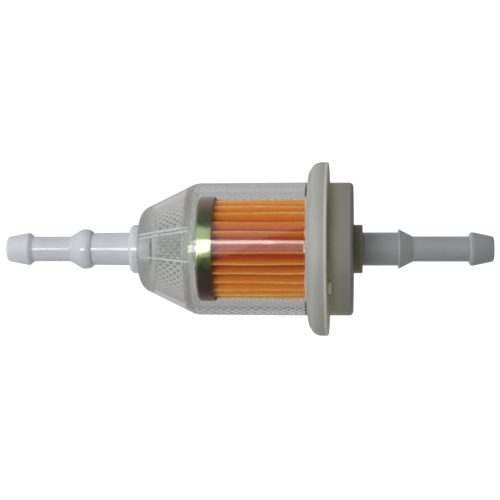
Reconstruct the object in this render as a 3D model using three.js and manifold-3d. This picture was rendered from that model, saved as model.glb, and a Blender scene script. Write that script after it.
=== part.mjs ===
// Inline fuel filter: a clear bowl welded to a milky cap, with a pleated paper element between two hose nipples.
// Millimetres. The fuel flows along +X, +Z is up, and the origin is on the axis at mid-length.
import * as THREE from "three";
import { mergeVertices } from "three/addons/utils/BufferGeometryUtils.js";
import Module from "manifold-3d";

const wasm = await Module();
wasm.setup();

// ---------- driving dimensions ----------

const JOINT_GAP = 0.3; // left between two pieces that are welded, potted or pressed together
const HALF_LENGTH = 60.6;
const BODY_SEGMENTS = 40;
const NIPPLE_SEGMENTS = 24;

// Both nipples take 1/4 in hose on the small barb and 5/16 in hose on the large tube.
const NIPPLE = {
  bore: 2.1,
  tipRadius: 3.05,
  smallTube: 3.1,
  smallBarb: 4.1,
  largeTube: 4.1,
  largeBarb: 4.95,
  tipRounding: 0.5,
};

const BOWL = {
  noseX: -26.8,
  flatNose: 9.5, // where the cone's line would meet the nose
  noseRounding: 4,
  shoulderX: -12.65,
  radius: 16.4,
  shoulderRounding: 5,
  rimX: 18.5,
  rimRadius: 16.5,
  wall: 2.15,
  noseWall: 3,
  innerNose: 9.3,
  innerConeEnd: 12.9,
  innerShoulderX: -14.3,
  innerStep: 1.1,
  flangeX: 15.15,
  flangeThickness: 0.65,
  flangeRadius: 19.7,
  flangeRounding: 2.6,
};

const CAP = {
  flangeRadius: 21.5,
  flangeRearX: 20.2,
  shoulderLength: 2.6,
  shoulderHeight: 1.9,
  bodyRadius: 16.45,
  bodyX: 26.25,
  bodyRounding: 1,
  bossRadius: 6,
  bossX: 28.55,
  pocketRadius: 13.6,
  pocketX: 22.3,
  recessRadius: 6.6,
  recessX: 23.9,
  lug: { angle: 33, length: 1, width: 3, height: 1.2 },
};

const ELEMENT = {
  cupX: -11.8,
  cupRadius: 13.05,
  cupSkirt: 4.05,
  cupWall: 0.3,
  cupRounding: 1,
  pleats: 30,
  ridge: 12.4,
  valley: 7.85,
  fold: 1.65, // along the radius, from one side of the paper to the other at a fold
  paperStart: -8.9,
  paperEnd: 15.1,
  pottingRadius: 13.3,
  pottingBore: 7,
  discThickness: 2,
};

// ---------- outlines ----------
// An outline is a list of [x, radius] corners in the half plane beside the flow axis. It runs along +X on the
// outside of the piece and back on the inside. A third number rounds the corner off at that radius.

function rounded(corners, steps = 4) {
  const at = (i) => new THREE.Vector2(...corners[(i + corners.length) % corners.length]);
  const points = [];
  corners.forEach(([, , rounding = 0], i) => {
    const corner = at(i);
    if (rounding === 0) {
      points.push(corner);
      return;
    }
    const back = at(i - 1).sub(corner).normalize();
    const ahead = at(i + 1).sub(corner).normalize();
    const half = Math.acos(back.dot(ahead)) / 2;
    const start = corner.clone().addScaledVector(back, rounding / Math.tan(half));
    const end = corner.clone().addScaledVector(ahead, rounding / Math.tan(half));
    const middle = back.clone().add(ahead).normalize();
    const centre = corner.clone().addScaledVector(middle, rounding / Math.sin(half));
    const from = start.clone().sub(centre);
    const to = end.clone().sub(centre);
    const sweep = Math.atan2(from.cross(to), from.dot(to));
    for (let k = 0; k <= steps; k++) {
      points.push(from.clone().rotateAround(new THREE.Vector2(), (sweep * k) / steps).add(centre));
    }
  });
  return points.map((point) => [point.x, point.y]);
}

// A quarter of an ellipse that leaves the front face and ends along the outside.
function shoulder(frontX, outerRadius, length, height, steps) {
  const curve = new THREE.EllipseCurve(
    frontX + length, outerRadius - height, length, height, Math.PI, Math.PI / 2, true);
  return curve.getPoints(steps).map((point) => [point.x, point.y]);
}

// A smooth swelling of a tube, from one radius up to the peak and down to another.
function swelling(startX, peakX, endX, startRadius, peakRadius, endRadius) {
  const rise = new THREE.CubicBezierCurve(
    new THREE.Vector2(startX, startRadius),
    new THREE.Vector2(startX + (peakX - startX) * 0.55, startRadius + (peakRadius - startRadius) * 0.8),
    new THREE.Vector2(startX + (peakX - startX) * 0.7, peakRadius),
    new THREE.Vector2(peakX, peakRadius));
  const fall = new THREE.CubicBezierCurve(
    new THREE.Vector2(peakX, peakRadius),
    new THREE.Vector2(peakX + (endX - peakX) * 0.5, peakRadius),
    new THREE.Vector2(endX, peakRadius + (endRadius - peakRadius) * 0.6),
    new THREE.Vector2(endX, endRadius));
  return [...rise.getPoints(4), ...fall.getPoints(4).slice(1)].map((point) => [point.x, point.y]);
}

// ---------- solids ----------

// The outline turned about the flow axis. A hollow one is closed along its bore.
function turned(outline, segments) {
  const profile = outline.map(([x, radius]) => new THREE.Vector2(radius, x));
  const onAxis = profile[0].x === 0;
  if (!onAxis) profile.push(profile[0].clone());
  return new THREE.LatheGeometry(profile, segments).rotateZ(-Math.PI / 2);
}

function toSolid(geometry) {
  const bare = geometry.clone();
  bare.deleteAttribute("normal");
  bare.deleteAttribute("uv");
  const merged = mergeVertices(bare, 1e-4);
  return new wasm.Manifold(new wasm.Mesh({
    numProp: 3,
    vertProperties: merged.attributes.position.array,
    triVerts: new Uint32Array(merged.index.array),
  }));
}

function joined(first, second) {
  const mesh = toSolid(first).add(toSolid(second)).getMesh();
  const geometry = new THREE.BufferGeometry();
  geometry.setAttribute("position", new THREE.BufferAttribute(mesh.vertProperties, 3));
  geometry.setIndex(new THREE.BufferAttribute(mesh.triVerts, 1));
  geometry.computeVertexNormals();
  return geometry;
}

// ---------- nipples ----------

function inletNipple() {
  const collarRear = BOWL.noseX - JOINT_GAP;
  const collarFront = collarRear - 2.1;
  const spigotEnd = BOWL.noseX + BOWL.noseWall;
  const outline = rounded([
    [-HALF_LENGTH, NIPPLE.bore],
    [-HALF_LENGTH, NIPPLE.tipRadius, NIPPLE.tipRounding],
    [-55.1, NIPPLE.smallBarb, 0.4],
    [-54, NIPPLE.smallTube],
    ...swelling(-44.4, -40.9, -38.9, NIPPLE.smallTube, NIPPLE.largeBarb, NIPPLE.largeTube),
    [collarFront, NIPPLE.largeTube],
    [collarFront, 5.5],
    [collarFront + 0.6, 6.05],
    [collarRear, 6.05],
    [collarRear, NIPPLE.largeTube],
    [spigotEnd, NIPPLE.largeTube],
    [spigotEnd, NIPPLE.bore],
  ], 3);
  return turned(outline, NIPPLE_SEGMENTS);
}

function outletNipple() {
  const flangeFront = CAP.pocketX + JOINT_GAP;
  const flangeRear = CAP.recessX - JOINT_GAP;
  const outline = rounded([
    [flangeFront, NIPPLE.bore],
    [flangeFront, CAP.recessRadius - JOINT_GAP],
    [flangeRear, CAP.recessRadius - JOINT_GAP],
    [flangeRear, NIPPLE.largeTube],
    [37.15, NIPPLE.largeTube],
    [37.3, NIPPLE.largeBarb, 0.15],
    [40.9, NIPPLE.smallTube],
    [54.4, NIPPLE.smallTube],
    [54.9, NIPPLE.smallBarb, 0.3],
    [55.7, NIPPLE.smallBarb, 0.5],
    [HALF_LENGTH, NIPPLE.tipRadius, NIPPLE.tipRounding],
    [HALF_LENGTH, NIPPLE.bore],
  ], 3);
  return turned(outline, NIPPLE_SEGMENTS);
}

// ---------- housing ----------

function bowl() {
  const hole = NIPPLE.largeTube + JOINT_GAP;
  const innerNoseX = BOWL.noseX + BOWL.noseWall;
  const flangeRear = BOWL.flangeX + BOWL.flangeThickness;
  const outline = rounded([
    [BOWL.noseX, hole],
    [BOWL.noseX, BOWL.flatNose, BOWL.noseRounding],
    [BOWL.shoulderX, BOWL.radius, BOWL.shoulderRounding],
    [BOWL.flangeX, BOWL.rimRadius],
    ...shoulder(BOWL.flangeX, BOWL.flangeRadius, BOWL.flangeThickness * 0.9, BOWL.flangeRounding, 4),
    [flangeRear, BOWL.flangeRadius],
    [flangeRear, BOWL.rimRadius],
    [BOWL.rimX, BOWL.rimRadius],
    [BOWL.rimX, BOWL.rimRadius - BOWL.wall],
    [BOWL.innerShoulderX + BOWL.innerStep, BOWL.radius - BOWL.wall, 0.6],
    [BOWL.innerShoulderX, BOWL.innerConeEnd, 0.3],
    [innerNoseX, BOWL.innerNose, 0.6],
    [innerNoseX, hole],
  ]);
  return turned(outline, BODY_SEGMENTS);
}

function outletCap() {
  const front = BOWL.flangeX + BOWL.flangeThickness + JOINT_GAP;
  const socket = BOWL.rimRadius + JOINT_GAP;
  const socketEnd = BOWL.rimX + JOINT_GAP;
  const hole = NIPPLE.largeTube + JOINT_GAP;
  const outline = rounded([
    [front, socket],
    ...shoulder(front, CAP.flangeRadius, CAP.shoulderLength, CAP.shoulderHeight, 5),
    [CAP.flangeRearX, CAP.flangeRadius, 0.4],
    [CAP.flangeRearX, CAP.bodyRadius],
    [CAP.bodyX, CAP.bodyRadius, CAP.bodyRounding],
    [CAP.bodyX, CAP.bossRadius],
    [CAP.bossX, CAP.bossRadius, 0.3],
    [CAP.bossX, hole],
    [CAP.recessX, hole],
    [CAP.recessX, CAP.recessRadius],
    [CAP.pocketX, CAP.recessRadius],
    [CAP.pocketX, CAP.pocketRadius],
    [socketEnd, CAP.pocketRadius],
    [socketEnd, socket],
  ], 3);
  const { lug } = CAP;
  const overlap = 0.5;
  const block = new THREE.BoxGeometry(lug.length + overlap, lug.height + overlap, lug.width);
  block.translate(
    CAP.flangeRearX + (lug.length - overlap) / 2, -(CAP.bodyRadius + (lug.height - overlap) / 2), 0);
  block.rotateX(THREE.MathUtils.degToRad(lug.angle));
  return joined(turned(outline, BODY_SEGMENTS), block);
}

// ---------- element ----------

function closedEndCap() {
  const { cupX, cupRadius, cupWall, cupRounding, cupSkirt } = ELEMENT;
  const outline = rounded([
    [cupX, 0],
    [cupX, cupRadius, cupRounding],
    [cupX + cupSkirt, cupRadius],
    [cupX + cupSkirt, cupRadius - cupWall],
    [cupX + cupWall, cupRadius - cupWall, cupRounding - cupWall],
    [cupX + cupWall, 0],
  ], 3);
  return turned(outline, BODY_SEGMENTS);
}

function endCapPotting() {
  const start = ELEMENT.cupX + ELEMENT.cupWall + JOINT_GAP;
  const radius = ELEMENT.cupRadius - ELEMENT.cupWall - JOINT_GAP;
  const outline = rounded([
    [start, 0],
    [start, radius, 0.6],
    [start + ELEMENT.discThickness, radius],
    [start + ELEMENT.discThickness, 0],
  ], 3);
  return turned(outline, BODY_SEGMENTS);
}

function outletPotting() {
  const start = ELEMENT.paperEnd + JOINT_GAP;
  const end = CAP.pocketX - JOINT_GAP;
  const outline = [
    [start, ELEMENT.pottingBore],
    [start, ELEMENT.pottingRadius],
    [end, ELEMENT.pottingRadius],
    [end, ELEMENT.pottingBore],
  ];
  return turned(outline, BODY_SEGMENTS);
}

// One closed zigzag around the axis, its ridges and valleys at the given radii.
function zigzag(ridge, valley) {
  const points = [];
  for (let i = 0; i < 2 * ELEMENT.pleats; i++) {
    const angle = (Math.PI * i) / ELEMENT.pleats;
    const radius = i % 2 === 0 ? ridge : valley;
    points.push(new THREE.Vector2(radius * Math.cos(angle), radius * Math.sin(angle)));
  }
  return points;
}

function pleatedMedia() {
  const { ridge, valley, fold, paperStart, paperEnd } = ELEMENT;
  const section = new THREE.Shape(zigzag(ridge, valley + fold));
  section.holes.push(new THREE.Path(zigzag(ridge - fold, valley)));
  const paper = new THREE.ExtrudeGeometry(section, { depth: paperEnd - paperStart, bevelEnabled: false });
  return paper.rotateY(Math.PI / 2).translate(paperStart, 0, 0);
}

// ---------- assembly ----------

const MILKY = { color: 0xc9ccc6, roughness: 0.45, metalness: 0 };
const CLEAR = { color: 0xe6eaea, roughness: 0.08, metalness: 0, transparent: true, opacity: 0.35 };
const STEEL = { color: 0xb4b46a, roughness: 0.25, metalness: 1 };
const PAPER = { color: 0xd88a3c, roughness: 0.9, metalness: 0 };
const RESIN = { color: 0xe8e4da, roughness: 0.6, metalness: 0 };

function piece(name, geometry, look) {
  const mesh = new THREE.Mesh(geometry, new THREE.MeshStandardMaterial(look));
  mesh.name = name;
  return mesh;
}

const housing = new THREE.Group();
housing.add(
  piece("inlet_nipple", inletNipple(), MILKY),
  piece("bowl", bowl(), CLEAR),
  piece("outlet_cap", outletCap(), MILKY),
  piece("outlet_nipple", outletNipple(), MILKY));

const element = new THREE.Group();
element.add(
  piece("closed_end_cap", closedEndCap(), STEEL),
  piece("end_cap_potting", endCapPotting(), RESIN),
  piece("pleated_media", pleatedMedia(), PAPER),
  piece("outlet_potting", outletPotting(), RESIN));

const filter = new THREE.Group();
filter.add(housing, element);

export default filter;
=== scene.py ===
"""Inline fuel filter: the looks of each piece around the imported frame.

Lengths are in millimetres until a mesh is made, and the flow axis is X. An angle round the axis is
counted from the side that faces the camera, -Y, and is positive upwards.
"""

import math

import bpy
import numpy as np
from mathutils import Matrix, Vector


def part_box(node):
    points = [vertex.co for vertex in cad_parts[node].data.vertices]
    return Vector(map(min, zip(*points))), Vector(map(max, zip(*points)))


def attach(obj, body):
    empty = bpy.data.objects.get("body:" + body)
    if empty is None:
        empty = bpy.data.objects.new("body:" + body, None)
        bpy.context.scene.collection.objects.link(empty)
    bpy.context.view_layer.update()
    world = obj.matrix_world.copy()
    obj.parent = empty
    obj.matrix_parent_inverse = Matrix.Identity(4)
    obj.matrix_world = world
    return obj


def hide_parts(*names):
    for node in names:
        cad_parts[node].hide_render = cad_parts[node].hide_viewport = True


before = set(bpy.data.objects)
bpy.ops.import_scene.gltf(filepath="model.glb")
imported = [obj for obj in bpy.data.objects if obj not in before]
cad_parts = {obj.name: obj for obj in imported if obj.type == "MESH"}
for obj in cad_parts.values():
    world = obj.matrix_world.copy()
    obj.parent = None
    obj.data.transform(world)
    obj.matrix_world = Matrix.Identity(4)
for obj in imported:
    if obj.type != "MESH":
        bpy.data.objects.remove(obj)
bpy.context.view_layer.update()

MM = 0.001


# ---------- driving dimensions ----------


def span(node):
    """A node's first and last x and its largest radius, in millimetres."""
    low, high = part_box(node)
    return low.x / MM, high.x / MM, max(-low.y, high.y, -low.z, high.z) / MM


inlet_start = span("inlet_nipple")[0]
nose, rim_end, bowl_flange_radius = span("bowl")
cap_front, cap_end, flange_radius = span("outlet_cap")
outlet_start, outlet_end, _ = span("outlet_nipple")
cup_front, cup_end, cup_radius = span("closed_end_cap")
ridge_radius = span("pleated_media")[2]
potting_start, potting_end, potting_radius = span("outlet_potting")

# nipples: radii, and where the collar against the bowl's nose starts
BORE = 2.1
TIP = 3.05
SMALL_TUBE = 3.1
SMALL_BARB = 4.1
LARGE_TUBE = 4.1
LARGE_BARB = 4.95
COLLAR_START = -29.2
COLLAR = 6.05
SOCKET_GAP = 0.02  # round a tube or a rim that another piece holds

# bowl
FLAT_NOSE = 9.5  # where the cone's line would meet the nose
NOSE_ROUNDING = 4
SHOULDER = -12.65
SHOULDER_ROUNDING = 5
BOWL_RADIUS = 16.4
RIM_RADIUS = 16.5
CONE_SLOPE = 0.475
WALL = 2.15
NOSE_WALL = 3.0
INNER_NOSE = 9.3
INNER_CONE_END = 13.4
INNER_SHOULDER = -14.0
BOWL_FLANGE = 15.15
FLANGE_FILLET = 0.3
FLANGE_ROUNDING = 2.6

# the dimples on the bowl's outside
PIT_RADIUS = 0.48
PIT_DEPTH = 0.2
CYLINDER_PITS = 48  # in a row round the cylinder
CONE_PITS = 40
PITS_START = nose + 2.1
PITS_END = BOWL_FLANGE - 0.4
ROWS_PER_MM = 4  # of the mesh
# where they begin, in degrees round from the side that faces the camera, and how far each fade reaches
EDGE_BELOW = 62
EDGE_ABOVE = 70
EDGE_FADE = 16
CONE_EDGE = 92
CONE_EDGE_FADE = 12
CONE_HALF_DEEP = 115  # half deep up to here, and deeper behind
CONE_HALF_FADE = 40

# the rib and the parting line along the bowl's cone
RIB_TURN = math.radians(17)
RIB_HALF_WIDTH = 0.75
RIB_SIDE = 0.3
RIB_HEIGHT = 0.65
# painted highlights: milky plastic on the rib's lower flank, in a band near its upper edge, and beside the
# parting line
RIB_PAINTED_HIGHLIGHT = (0.2, 0.5)  # the whitened band near its upper edge
LINE_TURN = math.radians(-11)
LINE_HALF_WIDTH = 0.12
LINE_HEIGHT = 0.12
LINE_PAINTED_HIGHLIGHT = 0.09
RIB_START = nose + 0.8
RIB_END = SHOULDER + 0.2

# where the bowl is matt
MATT_NOSE_END = nose + 4.1
MATT_NOSE_FADE = 0.8
MATT_FLANGE_RADIUS = RIM_RADIUS + 0.3
MATT_FLANGE_FADE = 0.5
MATT_STEP = (INNER_SHOULDER - 0.5, INNER_SHOULDER + 1.4)

# cap
JOINT = cap_front - 0.15  # the two housing halves meet in the middle of the CAD gap
BODY_RADIUS = 16.45
FLANGE_REAR = 20.2
BODY_REAR = 26.25
BOSS = 6.0
POCKET = 13.6
SEAT = 6.6
LUG_TURN = math.radians(-33)
LUG_HALF_WIDTH = 1.5
LUG_LENGTH = 1
LUG_HEIGHT = 1.2

# element
CUP_WALL = 0.3
PLEATS = 30
VALLEY_RADIUS = 8.0
FIRST_RIDGE = math.radians(7.2)
POTTING_BORE = 7.0


# ---------- outlines ----------


def rounded(corners, steps=8):
    """(x, r) points of an outline whose corners are (x, r) or (x, r, rounding radius)."""
    points = []
    count = len(corners)
    for i, corner in enumerate(corners):
        here = Vector(corner[:2])
        if len(corner) == 2:
            points.append(here)
            continue
        back = (Vector(corners[i - 1][:2]) - here).normalized()
        ahead = (Vector(corners[(i + 1) % count][:2]) - here).normalized()
        half = back.angle(ahead) / 2
        centre = here + (back + ahead).normalized() * corner[2] / math.sin(half)
        start = here + back * corner[2] / math.tan(half) - centre
        end = here + ahead * corner[2] / math.tan(half) - centre
        sweep = math.pi - 2 * half
        if start.x * end.y - start.y * end.x < 0:
            sweep = -sweep
        for k in range(steps + 1):
            turn = sweep * k / steps
            c, s = math.cos(turn), math.sin(turn)
            points.append(centre + Vector((start.x * c - start.y * s, start.x * s + start.y * c)))
    return [(p.x, p.y) for p in points]


def shoulder(front, radius, length, height, steps=12):
    """A quarter of an ellipse, from a front face round to the outside."""
    turns = [math.pi / 2 * k / steps for k in range(steps + 1)]
    return [
        (front + length * (1 - math.cos(t)), radius - height * (1 - math.sin(t))) for t in turns
    ]


def bezier(points, steps=10):
    """(x, r) points of a cubic curve, without its first point."""
    a, b, c, d = (np.array(p) for p in points)
    out = []
    for k in range(1, steps + 1):
        t = k / steps
        p = a * (1 - t) ** 3 + 3 * b * t * (1 - t) ** 2 + 3 * c * t * t * (1 - t) + d * t**3
        out.append(tuple(p))
    return out


def divided(outline, step):
    """The outline with points added so that none is further than step from the next."""
    out = []
    for (x0, r0), (x1, r1) in zip(outline, outline[1:]):
        parts = max(1, math.ceil(math.hypot(x1 - x0, r1 - r0) / step))
        out += [(x0 + (x1 - x0) * k / parts, r0 + (r1 - r0) * k / parts) for k in range(parts)]
    return out + [outline[-1]]


# ---------- meshes ----------


def make_object(name, vertices, faces, sharp_degrees=35):
    """A smooth-shaded mesh object whose vertices are given in millimetres."""
    mesh = bpy.data.meshes.new(name)
    mesh.from_pydata([tuple(v) for v in np.asarray(vertices) * MM], [], faces)
    mesh.validate()
    mesh.shade_smooth()
    mesh.set_sharp_from_angle(angle=math.radians(sharp_degrees))
    piece = bpy.data.objects.new(name, mesh)
    bpy.context.scene.collection.objects.link(piece)
    return piece


def even_angles(count):
    return np.arange(count) * 2 * math.pi / count


def round_axis(x, r, turn):
    """The points at those places along the flow axis, radii and angles."""
    return np.stack([x, -r * np.cos(turn), r * np.sin(turn)], 1)


def ring_faces(rows, columns, closed_rows):
    faces = []
    last = rows if closed_rows else rows - 1
    for i in range(last):
        a, b = i * columns, ((i + 1) % rows) * columns
        for j in range(columns):
            k = (j + 1) % columns
            faces.append((a + j, b + j, b + k, a + k))
    return faces


def turned(name, outline, angles=None, change=None, sharp_degrees=35):
    """The outline turned about the flow axis, closed along its bore or at the axis.

    change(x, r, angle) returns new x and r arrays, for detail that isn't round.
    """
    angles = even_angles(160) if angles is None else angles
    on_axis = outline[0][1] == 0
    ring = outline[1:-1] if on_axis else outline
    x = np.repeat([p[0] for p in ring], len(angles))
    r = np.repeat([p[1] for p in ring], len(angles))
    turn = np.tile(angles, len(ring))
    if change:
        x, r = change(x, r, turn)
    vertices = round_axis(x, r, turn)
    faces = ring_faces(len(ring), len(angles), not on_axis)
    if on_axis:
        first, last = len(vertices), len(vertices) + 1
        vertices = np.vstack([vertices, [(outline[0][0], 0, 0), (outline[-1][0], 0, 0)]])
        n, base = len(angles), (len(ring) - 1) * len(angles)
        faces += [(first, j, (j + 1) % n) for j in range(n)]
        faces += [(last, base + (j + 1) % n, base + j) for j in range(n)]
    return make_object(name, vertices, faces, sharp_degrees)


def stand_for(piece, node, material):
    """Give the piece its material and put it in a CAD node's place."""
    piece.data.materials.clear()
    piece.data.materials.append(material)
    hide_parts(node)
    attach(piece, "root")


# ---------- shader nodes ----------


class Nodes:
    """A node tree, emptied and built one node at a time."""

    def __init__(self, tree):
        self.tree = tree
        self.tree.nodes.clear()

    def add(self, kind, inputs=None, **settings):
        node = self.tree.nodes.new(kind)
        for key, value in settings.items():
            setattr(node, key, value)
        for key, value in (inputs or {}).items():
            self.set(node.inputs[key], value)
        return node

    def set(self, socket, value):
        if isinstance(value, bpy.types.NodeSocket):
            self.tree.links.new(value, socket)
        else:
            socket.default_value = value

    def math(self, operation, *values):
        return self.add("ShaderNodeMath", dict(enumerate(values)), operation=operation).outputs[0]

    def axis(self, vector, letter):
        return self.add("ShaderNodeSeparateXYZ", {0: vector}).outputs[letter]

    def ranged(self, value, low, high, bottom=0.0, top=1.0):
        """bottom to top as the value goes from low to high, and no further."""
        return self.add(
            "ShaderNodeMapRange",
            {"Value": value, "From Min": low, "From Max": high, "To Min": bottom, "To Max": top},
        ).outputs["Result"]

    def either(self, factor, first, second):
        """The first shader where the factor is 0 and the second where it is 1."""
        return self.add("ShaderNodeMixShader", {0: factor, 1: first, 2: second}).outputs[0]

    def straight_through(self, path):
        """1 for a ray that came through the clear plastic and was never mirrored."""
        return self.math("GREATER_THAN", path.outputs["Is Transmission Ray"], path.outputs["Glossy Depth"])


class Shade(Nodes):
    """A new material and its node tree."""

    def __init__(self, name):
        self.material = bpy.data.materials.new(name)
        self.material.use_nodes = True
        super().__init__(self.material.node_tree)
        self.output = self.add("ShaderNodeOutputMaterial")

    def finish(self, surface):
        self.tree.links.new(surface, self.output.inputs["Surface"])
        return self.material

    def principled(self, inputs):
        return self.add("ShaderNodeBsdfPrincipled", inputs).outputs[0]

    def place(self, stretch=(1, 1, 1)):
        """The object's own coordinates in metres, stretched."""
        coordinates = self.add("ShaderNodeTexCoord")
        return self.add(
            "ShaderNodeVectorMath",
            {0: coordinates.outputs["Object"], 1: stretch},
            operation="MULTIPLY",
        ).outputs[0]

    def noise(self, place, scale, detail=3.0, roughness=0.5):
        return self.add(
            "ShaderNodeTexNoise",
            {"Vector": place, "Scale": scale, "Detail": detail, "Roughness": roughness},
        ).outputs["Fac"]

    def attribute(self, name):
        return self.add("ShaderNodeAttribute", attribute_name=name).outputs["Fac"]

    def ramp(self, factor, *stops):
        """stops are (position, colour)."""
        node = self.add("ShaderNodeValToRGB", {"Fac": factor})
        elements = node.color_ramp.elements
        while len(elements) < len(stops):
            elements.new(1.0)
        for element, (position, colour) in zip(elements, stops):
            element.position = position
            element.color = (*colour, 1)
        return node.outputs["Color"]

    def multiplied(self, colour, tint):
        node = self.add("ShaderNodeMix", {0: 1.0}, data_type="RGBA", blend_type="MULTIPLY")
        self.set(node.inputs[6], colour)
        self.set(node.inputs[7], tint)
        return node.outputs[2]

    def between(self, factor, low, high):
        return self.ranged(factor, 0.0, 1.0, low, high)

    def bump(self, height, distance):
        node = self.add("ShaderNodeBump", {"Height": height, "Distance": distance, "Strength": 1.0})
        return node.outputs["Normal"]

    def glow(self, strength):
        return self.add("ShaderNodeEmission", {"Color": (1, 1, 1, 1), "Strength": strength}).outputs[0]


# ---------- materials ----------

TINT_REACH = 40  # the x in millimetres at the end of a ramp along the flow axis


def nylon(name, dark, light, scatter, gloss, along=None):
    """Milky moulded nylon: cloudy colour, light that spreads under the surface, fine moulding grain.

    along is a list of (x in millimetres, tint) for a colour that changes along the flow axis; the cap's is
    painted light and shade.
    """
    s = Shade(name)
    place = s.place()
    cloud = s.noise(place, 160, 4)
    grain = s.noise(place, 2600, 2)
    colour = s.ramp(cloud, (0.3, dark), (0.7, light))
    if along:
        reach = s.axis(s.place((1 / (TINT_REACH * MM),) * 3), "X")
        colour = s.multiplied(colour, s.ramp(reach, *[(x / TINT_REACH, tint) for x, tint in along]))
    surface = s.principled(
        {
            "Base Color": colour,
            "Roughness": s.between(s.noise(place, 420, 3), *gloss),
            "IOR": 1.53,
            "Subsurface Weight": 1.0,
            "Subsurface Radius": (1.0, 1.0, 0.95),
            "Subsurface Scale": scatter * MM,
            "Normal": s.bump(grain, 0.02 * MM),
        }
    )
    return s.finish(surface)


def clear_plastic():
    """Clear moulded plastic with matt places and with dimples tinted dark as painted shade, which lets the
    lamps light what is inside.
    """
    s = Shade("clear_plastic")
    place = s.place()
    pit = s.attribute("pit")
    polish = s.between(s.noise(place, 300, 3), 0.0, 0.04)
    matt = s.math("MULTIPLY_ADD", s.attribute("frost"), 0.5, polish)
    glass = s.principled(
        {
            # painted shade: the dimples are tinted dark as well as made rough
            "Base Color": s.ramp(pit, (0.03, (0.96, 0.965, 0.96)), (0.45, (0.3, 0.31, 0.3))),
            "Roughness": s.math("MULTIPLY_ADD", pit, 0.6, matt),
            "IOR": 1.5,
            "Specular IOR Level": 0.3,
            "Transmission Weight": 1.0,
            "Normal": s.bump(s.noise(place, 240, 2), 0.008 * MM),
        }
    )
    through = s.add("ShaderNodeBsdfTransparent", {"Color": (0.98, 0.985, 0.98, 1)})
    path = s.add("ShaderNodeLightPath")
    lets_light_in = s.math("MAXIMUM", path.outputs["Is Shadow Ray"], path.outputs["Is Diffuse Ray"])
    return s.finish(s.either(lets_light_in, glass, through.outputs[0]))


def plated_steel():
    """Yellow zinc plating, brushed round the cup and mottled. Its bands by height, yellow-green in the
    middle and purple above and below, are painted sheen: the plating's colour head-on and at a slant, fixed
    to the height.

    The pressed front face is dull.
    """
    s = Shade("plated_steel")
    streak = s.noise(s.place((30, 1, 1)), 300, 3)
    height = s.axis(s.place((1 / (cup_radius * MM),) * 3), "Z")
    mottled = s.math("MULTIPLY_ADD", s.noise(s.place((2, 1, 1)), 260, 3), 0.24, height)
    level = s.ranged(s.math("MULTIPLY_ADD", streak, 0.16, mottled), -0.8, 1.2)
    # painted sheen: the bands by height stand for the plating's change of colour with viewing angle, and the
    # noise mottles them
    tint = s.ramp(
        level,
        (0.0, (0.36, 0.22, 0.22)),
        (0.24, (0.42, 0.28, 0.25)),
        (0.32, (0.26, 0.33, 0.15)),
        (0.4, (0.55, 0.66, 0.28)),
        (0.66, (0.56, 0.67, 0.3)),
        (0.73, (0.36, 0.48, 0.24)),
        (0.8, (0.4, 0.46, 0.27)),
        (0.87, (0.5, 0.38, 0.31)),
        (1.0, (0.5, 0.36, 0.3)),
    )
    reach = s.axis(s.place(), "X")
    pressed = s.ranged(reach, (cup_front + 0.3) * MM, (cup_front + 0.8) * MM, 0.8, 0.0)
    brushed = s.between(s.noise(s.place(), 900, 2), 0.12, 0.24)
    surface = s.principled(
        {
            "Base Color": tint,
            "Metallic": 1.0,
            "Roughness": s.math("MAXIMUM", pressed, brushed),
            "Normal": s.bump(streak, 0.01 * MM),
        }
    )
    return s.finish(surface)


def filter_paper():
    """Resin-treated paper with short fibres. Its colour is painted darker and redder down in the folds,
    which is painted shade, and paler along the ridges, which is a painted highlight, with a random tone
    mixed in.
    """
    s = Shade("filter_paper")
    fibre = s.noise(s.place((1, 3, 3)), 1500, 4, 0.6)
    radius = s.add(
        "ShaderNodeVectorMath", {0: s.place((0, 1 / MM, 1 / MM))}, operation="LENGTH"
    ).outputs["Value"]
    painted_fold_shading = s.math("MULTIPLY_ADD", s.noise(s.place(), 900, 3), 0.5, radius)
    # painted shade in the folds and painted highlight on the ridges: the colour follows the distance from
    # the axis
    colour = s.ramp(
        s.ranged(painted_fold_shading, ridge_radius - 2.4, ridge_radius + 0.25),
        (0.0, (0.78, 0.17, 0.01)),
        (0.7, (0.87, 0.31, 0.03)),
        (0.88, (0.9, 0.42, 0.06)),
        (1.0, (0.94, 0.63, 0.25)),
    )
    surface = s.principled(
        {
            "Base Color": s.multiplied(colour, s.ramp(fibre, (0.35, (0.88, 0.83, 0.75)), (0.6, (1, 1, 1)))),
            "Roughness": 0.9,
            "Normal": s.bump(fibre, 0.03 * MM),
        }
    )
    return s.finish(surface)


def resin():
    """Cast white resin."""
    s = Shade("resin")
    place = s.place()
    cloud = s.noise(place, 400, 4)
    surface = s.principled(
        {
            "Base Color": s.ramp(cloud, (0.3, (0.78, 0.75, 0.69)), (0.7, (0.88, 0.86, 0.81))),
            "Roughness": s.between(cloud, 0.35, 0.6),
            "Subsurface Weight": 0.5,
            "Subsurface Radius": (1.0, 0.95, 0.85),
            "Subsurface Scale": 1.0 * MM,
            "Normal": s.bump(s.noise(place, 900, 3), 0.03 * MM),
        }
    )
    return s.finish(surface)


# ---------- nipples ----------


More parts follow.
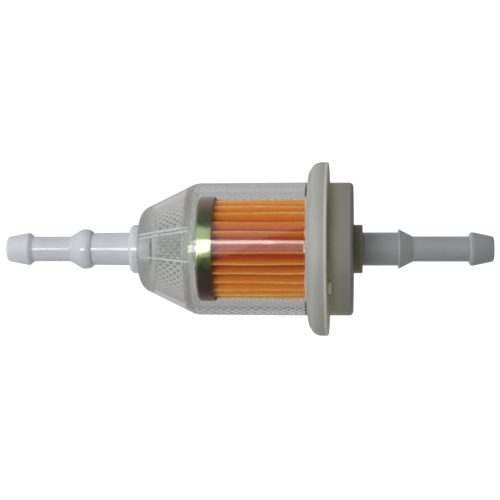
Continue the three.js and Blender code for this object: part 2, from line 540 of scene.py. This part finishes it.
def inlet_nipple():
    """From the tip: a small barb, the small tube, a rounded barb, the large tube and the collar."""
    barb, barb_end = -55.1, -54.0
    rise, rise_end = -44.6, -42.6
    crest = [(-41.9, 4.75), (-41.4, 5.05), (-40.2, 5.05), (-39.6, 4.75)]
    lip = [(-39.6, 4.75), (-39.1, 4.5), (-38.9, 4.35), (-38.9, 4.0)]
    outline = rounded(
        [
            (inlet_start, BORE, 0.3),
            (inlet_start, TIP, 0.6),
            (barb, SMALL_BARB, 0.45),
            (barb_end, SMALL_TUBE, 0.3),
            (rise, SMALL_TUBE, 2.0),
            (rise_end, 4.35, 2.0),
            *bezier(crest),
            *bezier(lip),
            (COLLAR_START, LARGE_TUBE, 0.25),
            (COLLAR_START, 5.45),
            (COLLAR_START + 0.6, COLLAR, 0.2),
            (nose, COLLAR),
            (nose, LARGE_TUBE),
            (nose + NOSE_WALL, LARGE_TUBE),
            (nose + NOSE_WALL, BORE),
        ]
    )
    piece = turned("inlet_nipple_moulding", outline)
    stand_for(piece, "inlet_nipple", milky)


def outlet_nipple():
    """From the cap: a foot in the cap's seat, the large tube, a sharp barb, the small tube and its barb."""
    foot, foot_rear = 6.3, outlet_start + 1
    sharp_face, sharp_edge, sharp_end = 37.15, 37.3, 40.9
    barb_face, barb_start, barb_end = 54.4, 54.9, 55.7
    outline = rounded(
        [
            (outlet_start, BORE),
            (outlet_start, foot),
            (foot_rear, foot),
            (foot_rear, LARGE_TUBE),
            (sharp_face, LARGE_TUBE),
            (sharp_edge, LARGE_BARB, 0.15),
            (sharp_end, SMALL_TUBE, 0.4),
            (barb_face, SMALL_TUBE, 0.2),
            (barb_start, SMALL_BARB, 0.3),
            (barb_end, SMALL_BARB, 0.5),
            (outlet_end, TIP, 0.6),
            (outlet_end, BORE, 0.3),
        ]
    )
    piece = turned("outlet_nipple_moulding", outline)
    stand_for(piece, "outlet_nipple", milky_shaded)


# ---------- bowl ----------


def pits(x, turn):
    """How deep a point is in a dimple, from 0 to 1.

    The dimples are in staggered rows 1 mm apart along the outside. They are on the part of the shell away
    from the camera and fade out towards its sides, sooner on the cone.
    """
    cone = x < SHOULDER
    along = np.where(cone, (x - SHOULDER) * math.hypot(1, CONE_SLOPE), x - SHOULDER)
    radius = BOWL_RADIUS + np.minimum(x - SHOULDER, 0) * CONE_SLOPE
    number = np.where(cone, CONE_PITS, CYLINDER_PITS)
    depth = np.zeros_like(x)
    for side in (-1, 0, 1):
        row = np.round(along) + side
        place = turn / (2 * math.pi) * number - np.where(row % 2 == 0, 0, 0.5)
        off = (place - np.round(place)) / number * 2 * math.pi * radius
        distance = np.hypot(off, along - row)
        depth = np.maximum(depth, 0.5 + 0.5 * np.cos(np.pi * np.clip(distance / PIT_RADIUS, 0, 1)))
    degrees = np.degrees(np.arccos(np.cos(turn)))
    edge = np.where(np.sin(turn) < 0, EDGE_BELOW, EDGE_ABOVE)
    on_cylinder = np.clip((degrees - edge) / EDGE_FADE, 0, 1)
    deepening = np.clip((degrees - CONE_HALF_DEEP) / CONE_HALF_FADE, 0, 1)
    on_cone = np.clip((degrees - CONE_EDGE) / CONE_EDGE_FADE, 0, 1) * (0.5 + 0.5 * deepening)
    within = (x > PITS_START) & (x < PITS_END)
    return np.where(within, depth * np.where(cone, on_cone, on_cylinder), 0)


def bowl_outside():
    """The outline from the nipple's hole to the flange, with rows fine enough for the dimples."""
    front = rounded(
        [
            (nose, LARGE_TUBE + SOCKET_GAP),
            (nose, FLAT_NOSE, NOSE_ROUNDING),
            (SHOULDER, BOWL_RADIUS, SHOULDER_ROUNDING),
            (BOWL_FLANGE, RIM_RADIUS, FLANGE_FILLET),
            (BOWL_FLANGE, 17.1),
        ],
        12,
    )
    rounding_end = nose + 1.2
    fillet_points = 10
    first = math.ceil((nose - SHOULDER) * ROWS_PER_MM)
    rows = np.arange(first, (PITS_END - SHOULDER) * ROWS_PER_MM) / ROWS_PER_MM
    rows = [row / math.hypot(1, CONE_SLOPE) if row < 0 else row for row in rows]
    outline_x, outline_r = zip(*[p for p in front if p[1] < RIM_RADIUS])
    near = [p for p in front[1:] if p[0] < rounding_end]
    fine = [(SHOULDER + x, np.interp(SHOULDER + x, outline_x, outline_r)) for x in rows]
    fine = [p for p in fine if p[0] > rounding_end + 0.1]
    return [front[0], *near, *fine, *front[-fillet_points:]]


def bowl_inside():
    """The outline from the flange's edge round the rim in the cap and back to the nipple's hole.

    It has extra points on both sides of the step inside the shoulder, where the matt stretch ends.
    """
    inner_nose = nose + NOSE_WALL
    inner_slope = (INNER_CONE_END - INNER_NOSE) / (INNER_SHOULDER - inner_nose)
    corners = [
        *shoulder(BOWL_FLANGE, bowl_flange_radius, JOINT - BOWL_FLANGE, FLANGE_ROUNDING, 10),
        (JOINT, RIM_RADIUS),
        (rim_end, RIM_RADIUS),
        (rim_end, RIM_RADIUS - WALL),
        (INNER_SHOULDER + 1.8, BOWL_RADIUS - WALL),
        (INNER_SHOULDER + 1.2, BOWL_RADIUS - WALL),
        (INNER_SHOULDER + 0.3, BOWL_RADIUS - WALL, 0.25),
        (INNER_SHOULDER, INNER_CONE_END, 0.2),
        (INNER_SHOULDER - 0.7, INNER_CONE_END - 0.7 * inner_slope),
        (inner_nose, INNER_NOSE, 0.6),
        (inner_nose, LARGE_TUBE + SOCKET_GAP),
    ]
    return divided(rounded(corners, 5), 1.5)


def bowl_angles():
    """Fine where the dimples, the rib and the parting line are, and coarse between."""
    facing_end, rear_step = 64, 0.75
    rear_first, rear_count = 87, 307
    rear = (rear_first + np.arange(rear_count)) * rear_step
    facing = np.arange(-facing_end, facing_end + 1, 4) % 360
    rib = math.degrees(RIB_TURN) + np.arange(-5, 5.1, 0.25)
    line = (math.degrees(LINE_TURN) + np.arange(-1, 1.1, 0.5)) % 360
    return np.radians(np.unique(np.round(np.concatenate([rear, facing, rib, line]), 3)))


def matt_places(x, r, inner):
    """1 where the mould has left the plastic matt: the nose, the weld flange and the inner step."""
    at_nose = np.clip((MATT_NOSE_END - x) / MATT_NOSE_FADE, 0, 1)
    on_flange = np.clip((r - MATT_FLANGE_RADIUS) / MATT_FLANGE_FADE, 0, 1)
    step = (x > MATT_STEP[0]) & (x < MATT_STEP[1]) & (r > INNER_CONE_END - 0.6)
    return np.where(step & inner, 1, np.maximum(at_nose, on_flange))


def whiten_edges(mesh, outer_faces):
    """Milky plastic on the welded edge of the flange, and as a painted highlight on the edges of the rib and
    beside the parting line.
    """
    mesh.materials.append(cap_milky)
    mesh.materials.append(milky)
    for face in mesh.polygons:
        x, r = face.center.x / MM, math.hypot(face.center.y, face.center.z) / MM
        turn = math.atan2(face.center.z, -face.center.y)
        if r > RIM_RADIUS + 0.1:
            face.material_index = 1
        elif face.index < outer_faces and nose + 1.2 < x < SHOULDER - 0.3:
            on_rib = (turn - RIB_TURN) * r
            beside_line = abs(turn - LINE_TURN) * r
            # painted highlight on the rib's edges and beside the parting line
            below = -RIB_HALF_WIDTH < on_rib < RIB_SIDE - RIB_HALF_WIDTH
            above = RIB_PAINTED_HIGHLIGHT[0] < on_rib < RIB_PAINTED_HIGHLIGHT[1]
            if below or above or beside_line < LINE_PAINTED_HIGHLIGHT:
                face.material_index = 2


def bowl():
    """The clear shell: dimpled on the side away from the camera, a rib and a parting line on its cone."""
    outside, inside, angles = bowl_outside(), bowl_inside(), bowl_angles()
    outer_count = len(outside) * len(angles)

    def detail(x, r, turn):
        outer = np.arange(len(x)) < outer_count
        signed = np.arctan2(np.sin(turn), np.cos(turn))
        r = r - np.where(outer, PIT_DEPTH * pits(x, turn), 0)
        on_cone = outer & (x > RIB_START) & (x < RIB_END)
        rib = np.clip((RIB_HALF_WIDTH - np.abs((signed - RIB_TURN) * r)) / RIB_SIDE, 0, 1)
        line = np.clip(1 - np.abs((signed - LINE_TURN) * r) / LINE_HALF_WIDTH, 0, 1)
        fade = np.clip(x - RIB_START, 0, 1) * np.clip((RIB_END - x) / 0.8, 0, 1)
        return x, r + np.where(on_cone, (RIB_HEIGHT * rib + LINE_HEIGHT * line) * fade, 0)

    piece = turned("clear_bowl", outside + inside, angles, detail, 50)
    x, y, z = np.array([v.co for v in piece.data.vertices]).T / MM
    inner = np.arange(len(x)) >= outer_count
    looks = {
        "pit": np.where(inner, 0, pits(x, np.arctan2(z, -y))),
        "frost": matt_places(x, np.hypot(y, z), inner),
    }
    for name, values in looks.items():
        piece.data.attributes.new(name, "FLOAT", "POINT").data.foreach_set("value", values)
    stand_for(piece, "bowl", clear)
    whiten_edges(piece.data, (len(outside) - 1) * len(angles))


# ---------- cap ----------


def outlet_cap():
    socket = RIM_RADIUS + SOCKET_GAP
    tube_hole = LARGE_TUBE + SOCKET_GAP
    outline = rounded(
        [
            (JOINT, socket),
            *shoulder(JOINT, flange_radius, 2.7, 1.9),
            (FLANGE_REAR, flange_radius, 0.45),
            (FLANGE_REAR, BODY_RADIUS, 0.2),
            (BODY_REAR, BODY_RADIUS, 1.0),
            (BODY_REAR, BOSS, 0.2),
            (cap_end, BOSS, 0.35),
            (cap_end, tube_hole),
            (outlet_start + 1.3, tube_hole),
            (outlet_start + 1.3, SEAT),
            (potting_end + 0.3, SEAT),
            (potting_end + 0.3, POCKET),
            (rim_end + 0.1, POCKET),
            (rim_end + 0.1, socket),
        ]
    )
    piece = turned("cap_moulding", outline, even_angles(200))
    stand_for(piece, "outlet_cap", cap_milky)
    cap_lug()


def cap_lug():
    """The small moulded lug in the corner behind the flange."""
    corners = [
        (x, r, w)
        for x in (FLANGE_REAR - 0.3, FLANGE_REAR + LUG_LENGTH)
        for r in (BODY_RADIUS - 0.4, BODY_RADIUS + LUG_HEIGHT)
        for w in (-LUG_HALF_WIDTH, LUG_HALF_WIDTH)
    ]
    c, s = math.cos(LUG_TURN), math.sin(LUG_TURN)
    vertices = [(x, -r * c + w * s, r * s + w * c) for x, r, w in corners]
    faces = [(0, 1, 3, 2), (4, 6, 7, 5), (0, 4, 5, 1), (2, 3, 7, 6), (0, 2, 6, 4), (1, 5, 7, 3)]
    piece = make_object("cap_lug", vertices, faces)
    edges = piece.modifiers.new("edges", "BEVEL")
    edges.width = 0.3 * MM
    edges.segments = 4
    # painted glow: the lug's paler cream colour stands for light coming through the thin lug
    piece.data.materials.append(lug_painted_glow)
    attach(piece, "root")


# ---------- element ----------


def closed_end_cap():
    outline = rounded(
        [
            (cup_front, 0),
            (cup_front, cup_radius, 1.0),
            (cup_end, cup_radius, 0.08),
            (cup_end, cup_radius - CUP_WALL, 0.08),
            (cup_front + CUP_WALL, cup_radius - CUP_WALL, 0.7),
            (cup_front + CUP_WALL, 0),
        ]
    )
    piece = turned("steel_end_cup", outline, even_angles(200))
    stand_for(piece, "closed_end_cap", steel)


def pleated_media():
    """The folded sheet, its folds rounded and a little uneven."""
    samples, rows = 20, 41
    roundness = 0.985  # 1 would be sharp folds
    place = np.arange(PLEATS * samples) / samples
    pleat = np.round(place) % PLEATS
    # 1 on a ridge and 0 in a valley, a straight fold between with its ends rounded
    fold = 0.5 + 0.5 * np.arcsin(roundness * np.cos(2 * math.pi * place)) / math.asin(roundness)
    vertices = []
    for x in np.linspace(cup_front + 1.2, potting_start + 0.6, rows):
        lean = np.radians(0.8) * np.sin(pleat * 2.4 + 0.6)
        lean = lean + np.radians(0.25) * np.sin(x * 0.3 + pleat * 1.7)
        ridge = ridge_radius - 0.1 + 0.09 * np.sin(pleat * 1.9 + x * 0.13)
        radius = VALLEY_RADIUS + (ridge - VALLEY_RADIUS) * fold
        turn = place * 2 * math.pi / PLEATS + FIRST_RIDGE + lean * fold
        vertices.append(round_axis(np.full_like(radius, x), radius, turn))
    piece = make_object("folded_paper", np.vstack(vertices), ring_faces(rows, len(place), False), 80)
    sheet = piece.modifiers.new("sheet", "SOLIDIFY")
    sheet.thickness = 0.3 * MM
    sheet.offset = -1
    stand_for(piece, "pleated_media", paper)


def outlet_potting():
    """The resin ring, its front edge drawn up in waves between the pleats."""
    corners = [
        (potting_start, POTTING_BORE),
        (potting_start, potting_radius, 0.4),
        (potting_end, potting_radius),
        (potting_end, POTTING_BORE),
    ]

    def waves(x, r, turn):
        lift = 0.45 * np.cos(PLEATS * (turn - FIRST_RIDGE)) + 0.2 * np.sin(turn * 7) - 0.35
        near = np.clip((potting_start + 2 - x) / 2, 0, 1)
        return x - lift * near, r

    piece = turned("potting_ring", divided(rounded(corners), 0.8), even_angles(360), waves)
    stand_for(piece, "outlet_potting", white_resin)


# ---------- stage ----------

WHITE = 1.1  # what the camera sees of the background


def lamp(name, turn, height, distance, size, radiance, colour=(1, 1, 1), mirrored=True):
    """A flat lamp that a mirror would show at that radiance.

    turn is its angle to the left of the way the object faces, and height its angle above the axis.
    """
    turn, height = math.radians(turn), math.radians(height)
    way = Vector(
        (-math.sin(turn) * math.cos(height), -math.cos(turn) * math.cos(height), math.sin(height))
    )
    data = bpy.data.lights.new(name, "AREA")
    data.shape = "RECTANGLE"
    data.size, data.size_y = (s * MM for s in size)
    data.energy = radiance * math.pi * data.size * data.size_y
    data.color = colour
    holder = bpy.data.objects.new(name, data)
    holder.location = way * distance * MM
    holder.rotation_euler = (-way).to_track_quat("-Z", "Y").to_euler()
    holder.visible_camera = False
    holder.visible_glossy = mirrored
    holder.visible_transmission = mirrored
    bpy.context.scene.collection.objects.link(holder)


def lamps():
    lamp("softbox", 33.5, 11, 330, (360, 470), 0.6)
    lamp("main_lamp", 25, 0.5, 260, (150, 54), 9)
    lamp("top_fill", 30, 62, 300, (260, 160), 2.0, mirrored=False)
    lamp("main_lamp_edge", 4.7, 2.5, 350, (58, 62), 1.5, (0.95, 0.85, 1.1))
    lamp("strip", 7, 12, 350, (48, 42), 5.8)
    lamp("strip_end", 1.2, 12, 350, (26, 42), 4)


def room():
    """The world: white to the camera, pale behind the object and dim in front of it."""
    world = bpy.data.worlds.new("studio")
    bpy.context.scene.world = world
    world.use_nodes = True
    w = Nodes(world.node_tree)

    def brightness(strength):
        return w.add("ShaderNodeBackground", {"Color": (1, 1, 1, 1), "Strength": strength}).outputs[0]

    way = w.add("ShaderNodeTexCoord").outputs["Generated"]
    x, y, z = (w.axis(way, letter) for letter in "XYZ")
    path = w.add("ShaderNodeLightPath")
    # what lights the object: pale behind and above, dim on the camera's side and to the right
    behind_and_above = w.math("ADD", w.ranged(y, -0.2, 0.8, 0.06, 0.54), w.ranged(z, -0.3, 1.0, 0.0, 0.12))
    around = w.math("MULTIPLY", behind_and_above, w.ranged(x, -0.6, 0.8, 1.0, 0.45))
    # what shows through the clear bowl: dimmest at eye level, and paler straight behind than sideways
    straight_behind = w.ranged(w.math("ABSOLUTE", y), 0.3, 0.95, 0.38, 0.56)
    off_level = w.ranged(w.math("ABSOLUTE", z), 0.01, 0.1, 0.42, 0.97)
    seen_through = w.math("MULTIPLY", straight_behind, off_level)
    ambient = w.either(w.straight_through(path), brightness(around), brightness(seen_through))
    shown = w.either(path.outputs["Is Camera Ray"], ambient, brightness(WHITE))
    w.add("ShaderNodeOutputWorld", {"Surface": shown})


def floor():
    """A pale floor well under the object: white to the camera, and dim where it lights or is mirrored."""
    side, height = 3.0, -0.09
    corners = [(-side, -side, height), (side, -side, height), (side, side, height), (-side, side, height)]
    mesh = bpy.data.meshes.new("floor")
    mesh.from_pydata(corners, [], [(0, 1, 2, 3)])
    piece = bpy.data.objects.new("floor", mesh)
    bpy.context.scene.collection.objects.link(piece)
    s = Shade("pale_floor")
    path = s.add("ShaderNodeLightPath")
    mirrored = s.ranged(s.axis(s.place(), "Y"), 0.0, 0.12, 0.08, 0.5)
    bounced = s.ranged(s.axis(s.place(), "X"), -0.1, 0.1, 0.6, 0.3)
    seen = s.math("MAXIMUM", s.math("MULTIPLY", s.straight_through(path), 0.5), mirrored)
    dim = s.either(path.outputs["Is Diffuse Ray"], s.glow(seen), s.glow(bounced))
    mesh.materials.append(s.finish(s.either(path.outputs["Is Camera Ray"], dim, s.glow(WHITE))))


def camera():
    """From 350 mm in front of the axis, opposite the cap, and looking left a little at the middle."""
    lens = bpy.data.cameras.new("camera")
    lens.sensor_width = 36
    lens.lens = 101.5
    lens.clip_start = 0.01
    holder = bpy.data.objects.new("camera", lens)
    holder.location = Vector((30, -350, 0)) * MM
    aim = Vector((0.56, 0, -0.25)) * MM
    holder.rotation_euler = (aim - holder.location).to_track_quat("-Z", "Y").to_euler()
    bpy.context.scene.collection.objects.link(holder)
    bpy.context.scene.camera = holder


# ---------- the whole ----------

# the cap's colour along the axis is painted light and shade: a painted glow at the rear edge of its flange,
# a yellow painted glow in the corner behind it, then painted shade that darkens towards the back and on the
# boss
cap_painted_light_and_shade = [
    (FLANGE_REAR - 0.9, (0.54, 0.545, 0.51)),
    (FLANGE_REAR - 0.35, (0.95, 0.92, 0.77)),
    (FLANGE_REAR + 0.1, (0.85, 0.83, 0.63)),
    (FLANGE_REAR + 0.5, (0.62, 0.61, 0.47)),
    (FLANGE_REAR + 2.6, (0.54, 0.535, 0.41)),
    (FLANGE_REAR + 4, (0.42, 0.42, 0.37)),
    (BODY_REAR - 0.1, (0.38, 0.38, 0.34)),
    (BODY_REAR + 0.1, (0.42, 0.4, 0.31)),
]
milky = nylon("milky_nylon", (0.61, 0.63, 0.665), (0.66, 0.68, 0.72), 2.0, (0.06, 0.1))
# painted shade: the outlet nipple is the inlet's plastic, darkened for the shade behind the cap
milky_shaded = nylon("milky_nylon_outlet_painted_shade", (0.39, 0.41, 0.41), (0.43, 0.45, 0.45), 2.0, (0.28, 0.36))
cap_milky = nylon("cap_nylon", (0.79, 0.79, 0.79), (0.85, 0.85, 0.85), 1.5, (0.44, 0.54), cap_painted_light_and_shade)
# the lug's paler colour is a painted glow
lug_painted_glow = nylon("lug_nylon_painted_glow", (0.93, 0.9, 0.79), (0.96, 0.93, 0.82), 1.0, (0.3, 0.4))
clear = clear_plastic()
steel = plated_steel()
paper = filter_paper()
white_resin = resin()

inlet_nipple()
bowl()
outlet_cap()
outlet_nipple()
closed_end_cap()
pleated_media()
outlet_potting()
# the disc inside the steel cup is out of sight, so its own mesh stays
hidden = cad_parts["end_cap_potting"]
hidden.data.materials.clear()
hidden.data.materials.append(white_resin)

lamps()
room()
floor()
camera()
bpy.context.scene.view_settings.view_transform = "Standard"
# light is trapped in the clear shell for many bounces before it comes out
bpy.context.scene.cycles.max_bounces = 24
bpy.context.scene.cycles.glossy_bounces = 16
bpy.context.scene.cycles.transmission_bounces = 24
